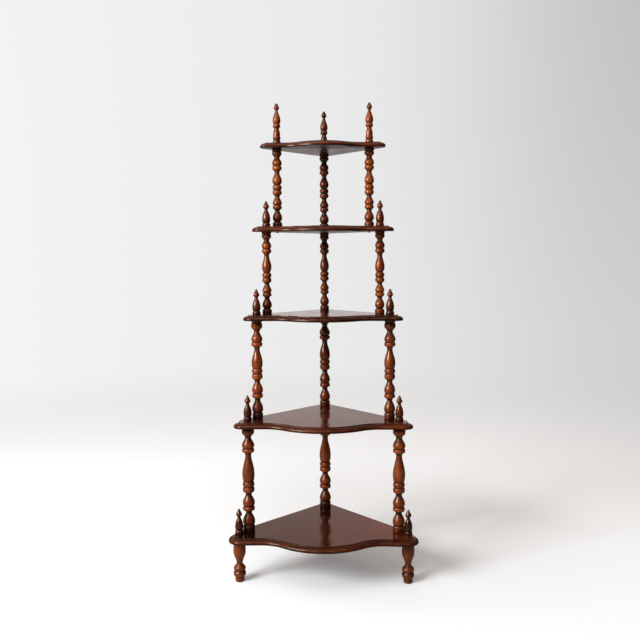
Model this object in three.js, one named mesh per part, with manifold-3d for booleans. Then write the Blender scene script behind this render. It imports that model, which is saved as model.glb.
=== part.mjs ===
// A corner etagere: five graduated shelves with a serpentine, moulded front edge, held apart by turned
// spindles and standing on three turned legs. Each shelf's straight back edges lie against the two walls
// of a room's corner. Units are millimetres, +Z is up, the viewer stands towards -Y and the corner of the
// room is towards +Y. The origin is on the floor, on the axis of the back post.
import * as THREE from "three";
import { mergeVertices } from "three/addons/utils/BufferGeometryUtils.js";
import Module from "manifold-3d";

// Boards and the corner that they fit.
const boardThickness = 17;
const backPostSetback = 28.4;
const sidePostSetback = 19.8;
const cornerFlatHalfWidth = 12;

// The moulding along the front of every shelf: a small step, then a long flat quarter round down to a
// plain edge. It fades out where the ears meet the back edges.
const mouldingWidth = 16.5;
const mouldingStep = 2.6;
const quarterRoundWidth = 16;
const quarterRoundHeight = 9.9;
const mouldingRunout = 16;
const earEndShare = 0.5;

// Where the side posts stand: half the distance between them at the top shelf, and how much further out
// they are at each lower shelf.
const topPostHalfSpan = 147.3;
const shelf4PostStep = 32.8;
const shelf3PostStep = 30.8;
const shelf2PostStep = 28.7;
const shelf1PostStep = 28;

// Shelf outlines, shelf 1 being the lowest. The round ears reach frontOverhang in front of the side posts
// and earDrop in front of the hollows. The hollows' middles lie hollowInset inside the side posts, and the
// middle of the front edge bulges out again by bulge.
const earDrop = 3;
const shelf1FrontOverhang = 59.2;
const shelf1EarRadius = 40;
const shelf1HollowInset = 80.6;
const shelf1Bulge = 61;
const shelf2FrontOverhang = 54.7;
const shelf2EarRadius = 29.4;
const shelf2HollowInset = 59.6;
const shelf2Bulge = 57;
const shelf3FrontOverhang = 49.4;
const shelf3EarRadius = 26.8;
const shelf3HollowInset = 55.9;
const shelf3Bulge = 54;
const shelf4FrontOverhang = 50.2;
const shelf4EarRadius = 25.3;
const shelf4HollowInset = 40.1;
const shelf4Bulge = 50;
const shelf5FrontOverhang = 51;
const shelf5EarRadius = 20.5;
const shelf5HollowInset = 24.3;
const shelf5Bulge = 42;

// Legs, spindles and finials. A tier is the space above one shelf, and its clear height is the distance to
// the shelf above. The long vase takes what the lower and upper turnings leave.
const legHeight = 138.75;
const legDiameter = 39.6;
const tier1ClearHeight = 341.5;
const tier1Diameter = 39.4;
const tier1LowerHeight = 161;
const tier1UpperHeight = 95.5;
const tier2ClearHeight = 317;
const tier2Diameter = 35.6;
const tier2LowerHeight = 163;
const tier2UpperHeight = 93.5;
const tier3ClearHeight = 260.75;
const tier3Diameter = 30.5;
const tier3LowerHeight = 133;
const tier3UpperHeight = 76;
const tier4ClearHeight = 245.3;
const tier4Diameter = 30.7;
const tier4LowerHeight = 134.5;
const tier4UpperHeight = 74;
const smallFinialHeight = 81;
const smallFinialDiameter = 25.8;
const topFinialHeight = 127.4;
const topFinialDiameter = 25;
const seatClearance = 0.05;

// Double-ended screws join the turned pieces above and below a shelf. Wood screws driven up through a
// shelf hold the feet of the side spindles.
const dowelScrewRadius = 3.5;
const dowelScrewReach = 18;
const woodScrewRadius = 2.4;
const woodScrewReach = 20;
const woodScrewHeadRadius = 5;
const woodScrewHeadHeight = 2.8;
const screwTipLength = 4;
const boreClearance = 0.3;
const cutOverrun = 5;

// The hollow's share of the sum of its own radius and the bulge's.
const hollowRadiusShare = 0.33;

// Facets of the round surfaces.
const spindleSides = 10;
const finialSides = 8;
const screwSides = 6;
const holeSides = 6;
const bulgeSteps = 4;
const hollowSteps = 4;
const earFrontSteps = 4;
const earBackSteps = 2;
const quarterRoundSteps = 2;

// Turned profiles, from the foot up. A row is [share of the section's height, share of the full radius].
const patternShares = {
  stout: {
    lowerShares: [
      [0, 0.95], [0.09, 0.95], [0.125, 0.76], [0.17, 0.98], [0.24, 0.91], [0.355, 0.5],
      [0.425, 0.92], [0.475, 0.96], [0.506, 0.78], [0.56, 0.99], [0.64, 0.83], [0.73, 0.5],
      [0.8, 0.92], [0.86, 0.95], [0.892, 0.8], [0.94, 0.96],
    ],
    vaseShares: [[0, 0.76], [0.14, 0.95], [0.32, 0.98], [0.6, 0.8]],
    upperShares: [
      [0, 0.5], [0.12, 0.95], [0.21, 0.98], [0.256, 0.78], [0.34, 1], [0.43, 0.89], [0.6, 0.5],
      [0.68, 0.7], [0.8, 1], [0.89, 0.84], [0.92, 0.97], [1, 0.97],
    ],
  },
  slim: {
    lowerShares: [
      [0, 0.97], [0.085, 0.97], [0.12, 0.66], [0.2, 1], [0.27, 0.88], [0.37, 0.5],
      [0.44, 0.92], [0.48, 0.95], [0.514, 0.76], [0.56, 0.99], [0.64, 0.8], [0.71, 0.5],
      [0.78, 0.91], [0.83, 0.94], [0.862, 0.74], [0.925, 0.95],
    ],
    vaseShares: [[0, 0.66], [0.16, 0.93], [0.34, 1], [0.6, 0.82]],
    upperShares: [
      [0, 0.52], [0.16, 0.94], [0.25, 0.98], [0.306, 0.76], [0.42, 1], [0.49, 0.92], [0.645, 0.52],
      [0.74, 0.82], [0.82, 1.03], [0.888, 0.88], [0.92, 1.01], [1, 1.01],
    ],
  },
};
const legShares = [
  [0, 0.72], [0.124, 0.745], [0.138, 0.95], [0.19, 1], [0.228, 0.95], [0.255, 0.8], [0.295, 0.96],
  [0.335, 0.94], [0.42, 0.5], [0.51, 0.6], [0.61, 0.84], [0.7, 0.99], [0.77, 1], [0.9, 0.945], [1, 0.9],
];
const smallFinialShares = [
  [0, 1], [0.11, 1], [0.147, 0.78], [0.2, 0.95], [0.29, 1], [0.44, 0.86], [0.665, 0.35],
  [0.79, 0.73], [0.885, 0.42], [1, 0],
];
const topFinialShares = [
  [0, 0.98], [0.075, 0.98], [0.108, 0.78], [0.149, 0.98], [0.2155, 0.92], [0.354, 0.48], [0.41, 0.95],
  [0.456, 0.98], [0.492, 0.76], [0.543, 0.98], [0.594, 0.98], [0.676, 0.76], [0.798, 0.29],
  [0.88, 0.64], [0.94, 0.44], [1, 0],
];

// How far the meeting point of the two back edges lies behind the back post.
const backReach = backPostSetback * Math.SQRT2;

// The tables below gather the sizes of each shelf and each tier, lowest first.
const shelf4HalfSpan = topPostHalfSpan + shelf4PostStep;
const shelf3HalfSpan = shelf4HalfSpan + shelf3PostStep;
const shelf2HalfSpan = shelf3HalfSpan + shelf2PostStep;
const shelf1HalfSpan = shelf2HalfSpan + shelf1PostStep;
const shelfSizes = [
  shelfSize(shelf1HalfSpan, shelf1FrontOverhang, shelf1EarRadius, shelf1HollowInset, shelf1Bulge),
  shelfSize(shelf2HalfSpan, shelf2FrontOverhang, shelf2EarRadius, shelf2HollowInset, shelf2Bulge),
  shelfSize(shelf3HalfSpan, shelf3FrontOverhang, shelf3EarRadius, shelf3HollowInset, shelf3Bulge),
  shelfSize(shelf4HalfSpan, shelf4FrontOverhang, shelf4EarRadius, shelf4HollowInset, shelf4Bulge),
  shelfSize(topPostHalfSpan, shelf5FrontOverhang, shelf5EarRadius, shelf5HollowInset, shelf5Bulge),
];
const tierSizes = [
  tierSize(tier1ClearHeight, tier1Diameter, tier1LowerHeight, tier1UpperHeight, patternShares.stout),
  tierSize(tier2ClearHeight, tier2Diameter, tier2LowerHeight, tier2UpperHeight, patternShares.stout),
  tierSize(tier3ClearHeight, tier3Diameter, tier3LowerHeight, tier3UpperHeight, patternShares.slim),
  tierSize(tier4ClearHeight, tier4Diameter, tier4LowerHeight, tier4UpperHeight, patternShares.slim),
];

const shelfWood = new THREE.MeshStandardMaterial({ color: 0x5a2f22, roughness: 0.35, metalness: 0 });
const turnedWood = new THREE.MeshStandardMaterial({ color: 0x7a3a1c, roughness: 0.3, metalness: 0 });
const steel = new THREE.MeshStandardMaterial({ color: 0x8c8a86, roughness: 0.4, metalness: 1 });

const wasm = await Module();
wasm.setup();

function shelfSize(postHalfSpan, frontOverhang, earRadius, hollowInset, bulge) {
  const earFront = -sidePost(postHalfSpan, 1).y + frontOverhang;
  return { postHalfSpan, earFront, earRadius, hollowHalfSpan: postHalfSpan - hollowInset, bulge };
}

function tierSize(clearHeight, diameter, lowerHeight, upperHeight, pattern) {
  return { clearHeight, diameter, lowerHeight, upperHeight, pattern };
}

function solidOf(geometry) {
  const bare = geometry.clone().deleteAttribute("normal").deleteAttribute("uv");
  const merged = mergeVertices(bare);
  return new wasm.Manifold(
    new wasm.Mesh({
      numProp: 3,
      vertProperties: merged.attributes.position.array,
      triVerts: new Uint32Array(merged.index.array),
    }),
  );
}

function geometryOf(solid) {
  const mesh = solid.getMesh();
  const geometry = new THREE.BufferGeometry();
  geometry.setAttribute("position", new THREE.BufferAttribute(mesh.vertProperties, 3));
  geometry.setIndex(new THREE.BufferAttribute(mesh.triVerts, 1));
  geometry.computeVertexNormals();
  return geometry;
}

// Points along an arc, each with the unit normal that points into the board. inwardSign is 1 where the
// arc's centre lies inside the board and -1 where it lies outside.
function arcPoints(centre, radius, startAngle, endAngle, steps, inwardSign) {
  const points = [];
  for (let i = 0; i <= steps; i += 1) {
    const angle = startAngle + ((endAngle - startAngle) * i) / steps;
    const outward = new THREE.Vector2(Math.cos(angle), Math.sin(angle));
    const place = outward.clone().multiplyScalar(radius).add(centre);
    points.push({ place, inward: outward.multiplyScalar(-inwardSign), moulded: 1 });
  }
  return points;
}

// The right half of a shelf's outline, from the middle of the front round the ear to the back corner.
// The bulge, the hollow and the ear are arcs that run into each other without a corner.
function halfOutline(size) {
  const hollowFront = size.earFront - earDrop;
  const arcSum = (size.hollowHalfSpan ** 2 + size.bulge ** 2) / (2 * size.bulge);
  const hollowRadius = arcSum * hollowRadiusShare;
  const bulgeRadius = arcSum - hollowRadius;
  const bulgeSweep = Math.asin(size.hollowHalfSpan / arcSum);
  const bulgeCentre = new THREE.Vector2(0, bulgeRadius - hollowFront - size.bulge);
  const hollowCentre = new THREE.Vector2(size.hollowHalfSpan, -hollowFront - hollowRadius);
  const earY = size.earRadius - size.earFront;
  const earCentre = new THREE.Vector2(backReach - size.earRadius * Math.SQRT2 - earY, earY);
  const between = earCentre.clone().sub(hollowCentre);
  const earSlope =
    Math.atan2(between.x, between.y) - Math.acos((size.earRadius + hollowRadius) / between.length());

  const down = -Math.PI / 2;
  const up = Math.PI / 2;
  const bulge = arcPoints(bulgeCentre, bulgeRadius, down, down + bulgeSweep, bulgeSteps, 1);
  const hollow = arcPoints(hollowCentre, hollowRadius, up + bulgeSweep, up - earSlope, hollowSteps, -1);
  const earFront = arcPoints(earCentre, size.earRadius, down - earSlope, 0, earFrontSteps, 1);
  const earBack = arcPoints(earCentre, size.earRadius, 0, Math.PI / 4, earBackSteps, 1);
  const earEnd = earBack[earBack.length - 1];
  earEnd.moulded = earEndShare;
  const runoutEnd = {
    place: earEnd.place.clone().add(new THREE.Vector2(-1, 1).setLength(mouldingRunout)),
    inward: earEnd.inward,
    moulded: 0,
  };
  const corner = {
    place: new THREE.Vector2(cornerFlatHalfWidth, backReach - cornerFlatHalfWidth),
    inward: earEnd.inward,
    moulded: 0,
  };
  return [...bulge, ...hollow.slice(1), ...earFront.slice(1), ...earBack.slice(1), runoutEnd, corner];
}

function mirrored(point) {
  return {
    place: new THREE.Vector2(-point.place.x, point.place.y),
    inward: new THREE.Vector2(-point.inward.x, point.inward.y),
    moulded: point.moulded,
  };
}

// The moulding's section, from the top face down, as rows of inset from the edge and height.
function mouldingRows() {
  const rows = [{ inset: mouldingWidth, height: boardThickness }];
  for (let i = 0; i <= quarterRoundSteps; i += 1) {
    const angle = ((Math.PI / 2) * i) / quarterRoundSteps;
    const inset = quarterRoundWidth * (1 - Math.sin(angle));
    const drop = mouldingStep + quarterRoundHeight * (1 - Math.cos(angle));
    rows.push({ inset, height: boardThickness - drop });
  }
  rows.push({ inset: 0, height: 0 });
  return rows;
}

// A board whose edge follows the moulding's section all along the front and is square at the back.
function mouldedBoard(outline) {
  const rows = mouldingRows();
  const positions = [];
  for (const row of rows) {
    for (const point of outline) {
      const place = point.inward.clone().multiplyScalar(row.inset * point.moulded).add(point.place);
      positions.push(place.x, place.y, row.height);
    }
  }
  const count = outline.length;
  const indices = [];
  for (let row = 0; row < rows.length - 1; row += 1) {
    for (let i = 0; i < count; i += 1) {
      const above = row * count;
      const below = above + count;
      const next = (i + 1) % count;
      indices.push(above + i, below + i, below + next);
      indices.push(above + i, below + next, above + next);
    }
  }
  const topFace = outline.map((_, i) => new THREE.Vector2(positions[3 * i], positions[3 * i + 1]));
  const bottomFace = outline.map((point) => point.place);
  const bottomStart = (rows.length - 1) * count;
  for (const [a, b, c] of THREE.ShapeUtils.triangulateShape(topFace, [])) {
    indices.push(a, b, c);
  }
  for (const [a, b, c] of THREE.ShapeUtils.triangulateShape(bottomFace, [])) {
    indices.push(bottomStart + a, bottomStart + c, bottomStart + b);
  }
  const geometry = new THREE.BufferGeometry();
  geometry.setAttribute("position", new THREE.Float32BufferAttribute(positions, 3));
  geometry.setIndex(indices);
  return geometry;
}

function drill(radius, place) {
  const cylinder = new THREE.CylinderGeometry(radius, radius, boardThickness + 2 * cutOverrun, holeSides);
  cylinder.rotateX(Math.PI / 2);
  cylinder.translate(place.x, place.y, boardThickness / 2);
  return solidOf(cylinder);
}

function sidePost(halfSpan, side) {
  return new THREE.Vector2(side * halfSpan, backReach - sidePostSetback * Math.SQRT2 - halfSpan);
}

function shelfGeometry(level) {
  const half = halfOutline(shelfSizes[level]);
  const leftHalf = half.slice(1).map(mirrored).reverse();
  let board = solidOf(mouldedBoard([...half, ...leftHalf]));
  const dowelHole = dowelScrewRadius + boreClearance;
  board = board.subtract(drill(dowelHole, new THREE.Vector2(0, 0)));
  for (const side of [-1, 1]) {
    board = board.subtract(drill(dowelHole, sidePost(shelfSizes[level].postHalfSpan, side)));
    if (level + 1 < shelfSizes.length) {
      const inboard = sidePost(shelfSizes[level + 1].postHalfSpan, side);
      board = board.subtract(drill(woodScrewRadius + boreClearance, inboard));
    }
  }
  return geometryOf(board);
}

// A turned piece from its profile, with a blind screw bore in either end where a bore is given. Its
// first corner points along X, so that it shows its full width from the front.
function turned(profile, sides, footBore, headBore) {
  const points = [];
  const foot = profile[0];
  const head = profile[profile.length - 1];
  if (footBore) {
    points.push(new THREE.Vector2(0, footBore.depth));
    points.push(new THREE.Vector2(footBore.radius, footBore.depth));
    points.push(new THREE.Vector2(footBore.radius, foot.y));
  } else {
    points.push(new THREE.Vector2(0, foot.y));
  }
  points.push(...profile);
  if (headBore) {
    points.push(new THREE.Vector2(headBore.radius, head.y));
    points.push(new THREE.Vector2(headBore.radius, head.y - headBore.depth));
    points.push(new THREE.Vector2(0, head.y - headBore.depth));
  } else if (head.x > 0) {
    points.push(new THREE.Vector2(0, head.y));
  }
  return new THREE.LatheGeometry(points, sides, Math.PI / 2).rotateX(Math.PI / 2);
}

function profileOf(shares, radius, start, height) {
  return shares.map(([along, across]) => new THREE.Vector2(across * radius, start + along * height));
}

const dowelBore = {
  radius: dowelScrewRadius + boreClearance,
  depth: dowelScrewReach + boreClearance,
};
const woodScrewBore = {
  radius: woodScrewRadius + boreClearance,
  depth: woodScrewReach + boreClearance,
};

function spindleGeometry(tier, footBore) {
  const radius = tier.diameter / 2;
  const length = tier.clearHeight - 2 * seatClearance;
  const vaseHeight = length - tier.lowerHeight - tier.upperHeight;
  const profile = [
    ...profileOf(tier.pattern.lowerShares, radius, 0, tier.lowerHeight),
    ...profileOf(tier.pattern.vaseShares, radius, tier.lowerHeight, vaseHeight),
    ...profileOf(tier.pattern.upperShares, radius, tier.lowerHeight + vaseHeight, tier.upperHeight),
  ];
  return turned(profile, spindleSides, footBore, dowelBore);
}

function legGeometry() {
  const profile = profileOf(legShares, legDiameter / 2, 0, legHeight - seatClearance);
  return turned(profile, spindleSides, null, dowelBore);
}

function finialGeometry(shares, diameter, height) {
  return turned(profileOf(shares, diameter / 2, 0, height), finialSides, dowelBore, null);
}

function dowelScrewGeometry() {
  const end = boardThickness / 2 + dowelScrewReach;
  const profile = [
    new THREE.Vector2(0, -end),
    new THREE.Vector2(dowelScrewRadius, screwTipLength - end),
    new THREE.Vector2(dowelScrewRadius, end - screwTipLength),
    new THREE.Vector2(0, end),
  ];
  return new THREE.LatheGeometry(profile, screwSides).rotateX(Math.PI / 2);
}

// The head's seat is at height zero.
function woodScrewGeometry() {
  const end = boardThickness + woodScrewReach;
  const profile = [
    new THREE.Vector2(0, -woodScrewHeadHeight),
    new THREE.Vector2(woodScrewHeadRadius / 2, -woodScrewHeadHeight),
    new THREE.Vector2(woodScrewHeadRadius, 0),
    new THREE.Vector2(woodScrewRadius, 0),
    new THREE.Vector2(woodScrewRadius, end - screwTipLength),
    new THREE.Vector2(0, end),
  ];
  return new THREE.LatheGeometry(profile, screwSides).rotateX(Math.PI / 2);
}

const etagere = new THREE.Group();

function place(name, geometry, material, post, height) {
  const mesh = new THREE.Mesh(geometry, material.clone());
  mesh.name = name;
  mesh.position.set(post.x, post.y, height);
  etagere.add(mesh);
}

const backPost = new THREE.Vector2(0, 0);

// The three posts at one half span, with the words that end their pieces' names.
function postsAt(halfSpan) {
  return [
    ["left", sidePost(halfSpan, -1)],
    ["right", sidePost(halfSpan, 1)],
    ["back", backPost],
  ];
}

for (const [post, spot] of postsAt(shelfSizes[0].postHalfSpan)) {
  place("leg_" + post, legGeometry(), turnedWood, spot, 0);
}

let underside = legHeight;
shelfSizes.forEach((size, level) => {
  const number = level + 1;
  const top = underside + boardThickness;
  const isTopShelf = number === shelfSizes.length;
  place("shelf_" + number, shelfGeometry(level), shelfWood, backPost, underside);

  for (const [post, spot] of postsAt(size.postHalfSpan)) {
    place("dowel_screw_" + number + "_" + post, dowelScrewGeometry(), steel, spot, (underside + top) / 2);
    if (isTopShelf) {
      const finial = finialGeometry(topFinialShares, topFinialDiameter, topFinialHeight);
      place("top_finial_" + post, finial, turnedWood, spot, top + seatClearance);
    } else if (post !== "back") {
      const finial = finialGeometry(smallFinialShares, smallFinialDiameter, smallFinialHeight);
      place("finial_" + number + "_" + post, finial, turnedWood, spot, top + seatClearance);
    }
  }
  if (isTopShelf) return;

  const tier = tierSizes[level];
  for (const [post, spot] of postsAt(shelfSizes[number].postHalfSpan)) {
    const footBore = post === "back" ? dowelBore : woodScrewBore;
    const spindle = spindleGeometry(tier, footBore);
    place("spindle_" + number + "_" + post, spindle, turnedWood, spot, top + seatClearance);
    if (post !== "back") {
      const screwName = "wood_screw_" + number + "_" + post;
      place(screwName, woodScrewGeometry(), steel, spot, underside - seatClearance);
    }
  }
  underside = top + tier.clearHeight;
});

export default etagere;
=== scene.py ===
import math
import random

import bmesh
import bpy
from mathutils import Matrix, Vector, geometry


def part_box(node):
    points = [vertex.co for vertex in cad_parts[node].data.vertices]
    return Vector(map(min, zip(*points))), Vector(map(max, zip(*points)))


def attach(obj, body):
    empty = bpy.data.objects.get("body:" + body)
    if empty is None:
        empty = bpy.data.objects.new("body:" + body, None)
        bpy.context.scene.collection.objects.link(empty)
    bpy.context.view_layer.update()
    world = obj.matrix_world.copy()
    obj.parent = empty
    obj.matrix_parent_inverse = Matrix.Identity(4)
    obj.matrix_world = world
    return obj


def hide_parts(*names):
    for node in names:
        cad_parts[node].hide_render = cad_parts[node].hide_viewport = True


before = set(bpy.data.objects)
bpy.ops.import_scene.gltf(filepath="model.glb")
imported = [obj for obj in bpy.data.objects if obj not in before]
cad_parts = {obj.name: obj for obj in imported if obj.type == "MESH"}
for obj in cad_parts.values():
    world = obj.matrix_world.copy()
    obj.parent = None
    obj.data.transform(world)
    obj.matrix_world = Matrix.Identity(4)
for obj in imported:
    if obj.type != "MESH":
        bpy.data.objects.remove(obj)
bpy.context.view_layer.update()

MM = 0.001
SEED = 11
CREASE_ANGLE = math.radians(34)
POSTS = ("left", "right", "back")
SIDE_POSTS = ("left", "right")

# Differences that count as none, in any unit and in heights in millimetres.
NEARLY_ZERO = 1e-6
SAME_HEIGHT = 1e-3

# The camera that the photograph was taken with, found from the posts and the shelf outlines.
CAMERA_PLACE = (0.0608, -2.4534, 1.0300)
CAMERA_YAW = 0.0313
CAMERA_PITCH_DOWN = 0.0881
CAMERA_ROLL = -0.0045
CAMERA_LENS = 40.277
CAMERA_SENSOR = 36
CAMERA_REACH = 200

# Shelves, lowest first: how far the ears reach in front of the side posts, the ears' radius, how far the
# hollows' middles lie inside the side posts, and the bulge of the front.
SHELVES = [
    (59.2, 40, 80.6, 61),
    (54.7, 29.4, 59.6, 57),
    (49.4, 26.8, 55.9, 54),
    (50.2, 25.3, 40.1, 50),
    (51, 20.5, 24.3, 42),
]
# How far the hollows' fronts lie behind the ears', and the hollows' radius as a share of the sum of theirs
# and the bulge's.
HOLLOW_SETBACK = 3
HOLLOW_RADIUS_SHARE = 0.33
# How far behind the frame's origin the planes of the back edges pass, and where they meet. Then half the
# width of the flat across that corner, and how far its ends are eased.
BACK_SETBACK = 28.4
BACK_REACH = BACK_SETBACK * math.sqrt(2)
CORNER_FLAT = 12
CORNER_EASE = 1.2
# Into how many straight parts each stretch of the outline is divided.
OUTLINE_STEPS = {"bulge": 22, "hollow": 16, "ear": 22, "runout": 8, "back": 5}
# Directions seen from above: towards the viewer, away, where the ear ends, and along the right back edge.
FORWARD = -math.pi / 2
BACKWARD = math.pi / 2
EAR_END = math.pi / 4
ALONG_BACK = Vector((-1, 1)).normalized()

# The moulding: a step, then a long flat quarter round down to an edge with a rounded lower arris. Rows of
# its section are (inset, drop, relief). A relief says how far the wood stands out or lies in, from -1 to 1,
# because the stain gathers in hollows and wears thin on crests. The moulding's reliefs also paint light:
# painted shade on the step's riser, below the round's nose and on the lower arris, and painted highlight
# lines on the step's crest and the round's nose.
BOARD = 17
MOULDING_WIDTH = 16.5
STEP_DROP = 2.6
ROUND_WIDTH = 16
ROUND_DROP = 9.9
LOWER_ARRIS = 2.2
ARRIS_STEPS = 5
ARRIS_RELIEF_AND_PAINTED_SHADE = -0.5
STEP_ROWS = [
    (MOULDING_WIDTH + 1.1, 0, 0.1),
    (MOULDING_WIDTH + 0.45, 0.12, 0.7),
    (MOULDING_WIDTH + 0.1, 0.45, 0.5),
    (MOULDING_WIDTH, 0.95, -0.3),
    (ROUND_WIDTH + 0.2, STEP_DROP - 0.2, -0.75),
]
# Painted highlight at the round's nose, painted shade at its top and below its nose.
ROUND_RELIEFS_AND_PAINTED_LIGHT = [-0.7, -0.3, 0.0, 0.1, 0.1, 0.1, 0.1, 0.15, 0.4, 0.45, 0.2, -0.1, -0.3]

# The moulding fades over the last of the ear's equal parts and on along the back edge, which is square. Its
# arrises are eased, with the reliefs in their middles and beside them.
EAR_PARTS = 5
RUNOUT = 16
EASE = 0.7
EASE_SHARE = 0.3
EASE_RELIEF = 0.8
BESIDE_EASE_RELIEF = 0.6

# Turned pieces: largest diameter of the legs, the spindles of each tier and the finials. A tier also has the
# heights of its spindles' lower and upper turnings, and their pattern.
LEG_DIAMETER = 39.6
TIERS = [
    (39.4, 161, 95.5, "stout"),
    (35.6, 163, 93.5, "stout"),
    (30.5, 133, 76, "slim"),
    (30.7, 134.5, 74, "slim"),
]
SMALL_FINIAL_DIAMETER = 25.8
TOP_FINIAL_DIAMETER = 25
# Sides round a piece, and how far apart its rings of points are at most.
SPINDLE_SIDES = 48
FINIAL_SIDES = 40
RING_SPACING = 2.6

# Over how many millimetres a turned profile is smoothed to find its reliefs, and the height that counts
# as 1: first for single rings and grooves, then for whole bellies and necks.
RELIEF_REACH = 2.6
RELIEF_FULL = 1.3
BELLY_REACH = 17
BELLY_FULL = 5

# Bores, as radius and depth.
DOWEL_BORE = (3.8, 18.3)
SCREW_BORE = (2.7, 20.3)
BORE_SIDES = 20

# Screws. The rings of a round head are shares of its radius, and the plain shank above it is a share of the
# board's thickness.
DOWEL_SCREW_RADIUS = 3.5
WOOD_SCREW_RADIUS = 2.4
SCREW_HEAD_RADIUS = 5
SCREW_HEAD_HEIGHT = 2.8
SCREW_HEAD_SHARES = (0.1, 0.35, 0.6, 0.8, 0.93, 1.0)
SCREW_HEAD_RIM_SHARE = 0.98
SHANK_SHARE = 0.7
SCREW_TIP = 4
SCREW_POINT_RADIUS = 0.05
SCREW_SIDES = 16
THREAD_PITCH = 2.6
THREAD_DEPTH = 0.7
RINGS_PER_TURN = 4
SLOT_WIDTH = 1.1
SLOT_DEPTH = 1.2

# Turned profiles, from the foot up: share of the height, share of the full radius, and C at a crease.
# Between creases the profile is one smooth curve.
C = True
PROFILES = {
    "stout": {
        "lower": [
            (0, .90, C), (.012, .945), (.05, .965), (.095, .955), (.112, .90, C), (.128, .74, C),
            (.138, .88), (.160, .965), (.19, 1.0), (.235, .945), (.285, .79), (.325, .61), (.364, .485),
            (.39, .54), (.408, .66), (.416, .84, C), (.424, .93), (.452, .98), (.482, .94), (.492, .86, C),
            (.506, .75, C), (.516, .88), (.54, .965), (.571, .99), (.61, .93), (.655, .77), (.69, .61),
            (.73, .485), (.755, .53), (.778, .66), (.79, .84, C), (.80, .92), (.835, .965), (.87, .93),
            (.88, .86, C), (.892, .76, C), (.903, .88), (.92, .94), (.943, .96), (.966, .94),
            (.985, .87, C), (1, .74, C),
        ],
        "vase": [
            (0, .74, C), (.02, .85), (.09, .93), (.2, .98), (.3, .99), (.42, .955), (.55, .86),
            (.68, .735), (.82, .585), (.93, .505), (1, .49),
        ],
        "upper": [
            (0, .49), (.05, .53), (.088, .66), (.108, .86, C), (.12, .94), (.165, 1.0), (.215, .96),
            (.232, .88, C), (.254, .78, C), (.268, .9), (.30, .98), (.345, 1.0), (.40, .95), (.465, .79),
            (.53, .61), (.59, .495), (.64, .56), (.685, .70), (.715, .88, C), (.735, .96), (.79, 1.0),
            (.855, .99), (.88, .93, C), (.91, .82, C), (.925, .93, C), (.94, .965), (1, .965, C),
        ],
    },
    "slim": {
        "lower": [
            (0, .93, C), (.012, .97), (.05, 1.0), (.092, .975), (.105, .9, C), (.13, .64, C), (.145, .80),
            (.175, .94), (.221, .995), (.27, .91), (.315, .73), (.35, .565), (.378, .50), (.40, .56),
            (.418, .72), (.428, .86, C), (.436, .915), (.468, .95), (.494, .91), (.502, .85, C),
            (.517, .74, C), (.53, .88), (.564, .975), (.605, .89), (.65, .70), (.685, .55), (.712, .50),
            (.737, .56), (.757, .72), (.768, .87, C), (.778, .93), (.814, .965), (.846, .92),
            (.856, .86, C), (.872, .73, C), (.886, .87), (.90, .93), (.931, .965), (.962, .92),
            (.975, .84, C), (1, .64, C),
        ],
        "vase": [
            (0, .64, C), (.05, .78), (.16, .93), (.327, 1.0), (.5, .93), (.65, .80), (.8, .645),
            (.92, .545), (1, .515),
        ],
        "upper": [
            (0, .515), (.06, .56), (.11, .72), (.138, .88, C), (.15, .95), (.212, 1.0), (.265, .95),
            (.283, .87, C), (.308, .74, C), (.33, .88), (.375, .97), (.428, 1.0), (.49, .93),
            (.555, .755), (.605, .61), (.643, .565), (.685, .62), (.73, .76), (.765, .93, C),
            (.785, .98), (.83, 1.02), (.868, .98), (.882, .93, C), (.902, .86, C), (.915, .95, C),
            (.94, 1.0), (1, 1.0, C),
        ],
    },
    "leg": [
        (0, .64, C), (.008, .70), (.03, .725), (.124, .745, C), (.131, .86, C), (.143, .95), (.181, 1.0),
        (.217, .965), (.231, .90, C), (.254, .78, C), (.269, .90), (.304, .97), (.337, .93), (.375, .72),
        (.399, .56), (.418, .495), (.451, .51), (.508, .60), (.57, .76), (.637, .93), (.708, 1.0),
        (.80, .985), (.89, .945), (1, .90, C),
    ],
    "small_finial": [
        (0, .94, C), (.012, .985), (.055, 1), (.105, .97), (.125, .9, C), (.147, .77, C), (.165, .88),
        (.205, .96), (.285, 1), (.36, .965), (.45, .855), (.51, .75), (.55, .65), (.585, .52),
        (.62, .43), (.65, .395), (.68, .425), (.706, .53), (.728, .67), (.748, .745), (.775, .735),
        (.805, .69), (.84, .59), (.88, .46), (.925, .34), (.965, .23), (.99, .12), (1, 0, C),
    ],
    "top_finial": [
        (0, .93, C), (.01, .97), (.043, .99), (.076, .96), (.088, .9, C), (.103, .79, C), (.113, .92),
        (.136, .985), (.158, .955), (.171, .885, C), (.20, .875), (.25, .865), (.29, .83), (.322, .755),
        (.345, .67), (.368, .615), (.388, .64), (.4, .73), (.4088, .85, C), (.418, .93), (.4374, .97),
        (.466, .92), (.478, .85, C), (.4967, .75, C), (.512, .88), (.5427, .965), (.5857, 1),
        (.6347, .93), (.6859, .77), (.74, .57), (.78, .42), (.81, .37), (.828, .395), (.845, .51),
        (.862, .65), (.88, .71), (.90, .67), (.925, .555), (.955, .42), (.982, .26), (.995, .13),
        (1, 0, C),
    ],
}

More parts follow.
